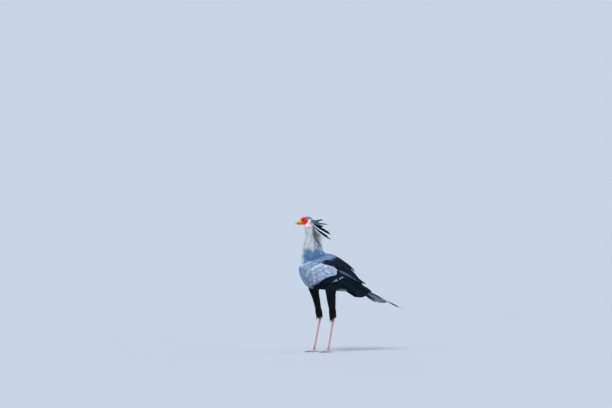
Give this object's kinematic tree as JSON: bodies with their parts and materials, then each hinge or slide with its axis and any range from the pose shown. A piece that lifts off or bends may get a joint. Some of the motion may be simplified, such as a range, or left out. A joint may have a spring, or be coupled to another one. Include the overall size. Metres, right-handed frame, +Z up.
{
  "type": "secretary bird, still life-size model",
  "caption": "Standing secretary bird, a still life-size museum model: long legs, folded wings, crest of long feathers and long central tail feathers.",
  "frame": {"origin": "on the floor, under the middle of the bird's whole box", "axes": "+Z up, the bird faces -X, its left side is -Y and its tail points to +X"},
  "size_m": [1.0436, 0.2708, 1.239],
  "materials": {
    "face_skin": "bare orange-red skin round the eyes, matt and finely wrinkled",
    "bill_horn": "satin horn, yellow-orange at the base and blue-grey at the tip",
    "eye": "polished, dark brown",
    "plumage_pale": "flesh under soft whitish-grey feathers",
    "plumage_grey": "flesh under pale blue-grey feathers",
    "plumage_black": "flesh under short brownish-black feathers",
    "quills_black": "black feathers with a faint blue sheen",
    "quills_grey": "grey tail feathers with black bands and pale tips",
    "leg_scales": "dry pinkish scales",
    "claw_horn": "dark horn"
  },
  "bodies": {
    "root": {"head": "face_skin", "bill_upper": "bill_horn", "bill_lower": "bill_horn", "eye_left": "eye", "eye_right": "eye", "neck": "plumage_pale", "torso": "plumage_grey", "rump": "quills_black", "wing_left": "quills_black", "wing_right": "quills_black", "tail": "quills_grey", "thigh_left": "plumage_black", "thigh_right": "plumage_black", "shank_left": "leg_scales", "shank_right": "leg_scales", "foot_left": "leg_scales", "foot_right": "leg_scales", "claw_middle_left": "claw_horn", "claw_inner_left": "claw_horn", "claw_outer_left": "claw_horn", "claw_hind_left": "claw_horn", "claw_middle_right": "claw_horn", "claw_inner_right": "claw_horn", "claw_outer_right": "claw_horn", "claw_hind_right": "claw_horn"}
  },
  "joints": []
}
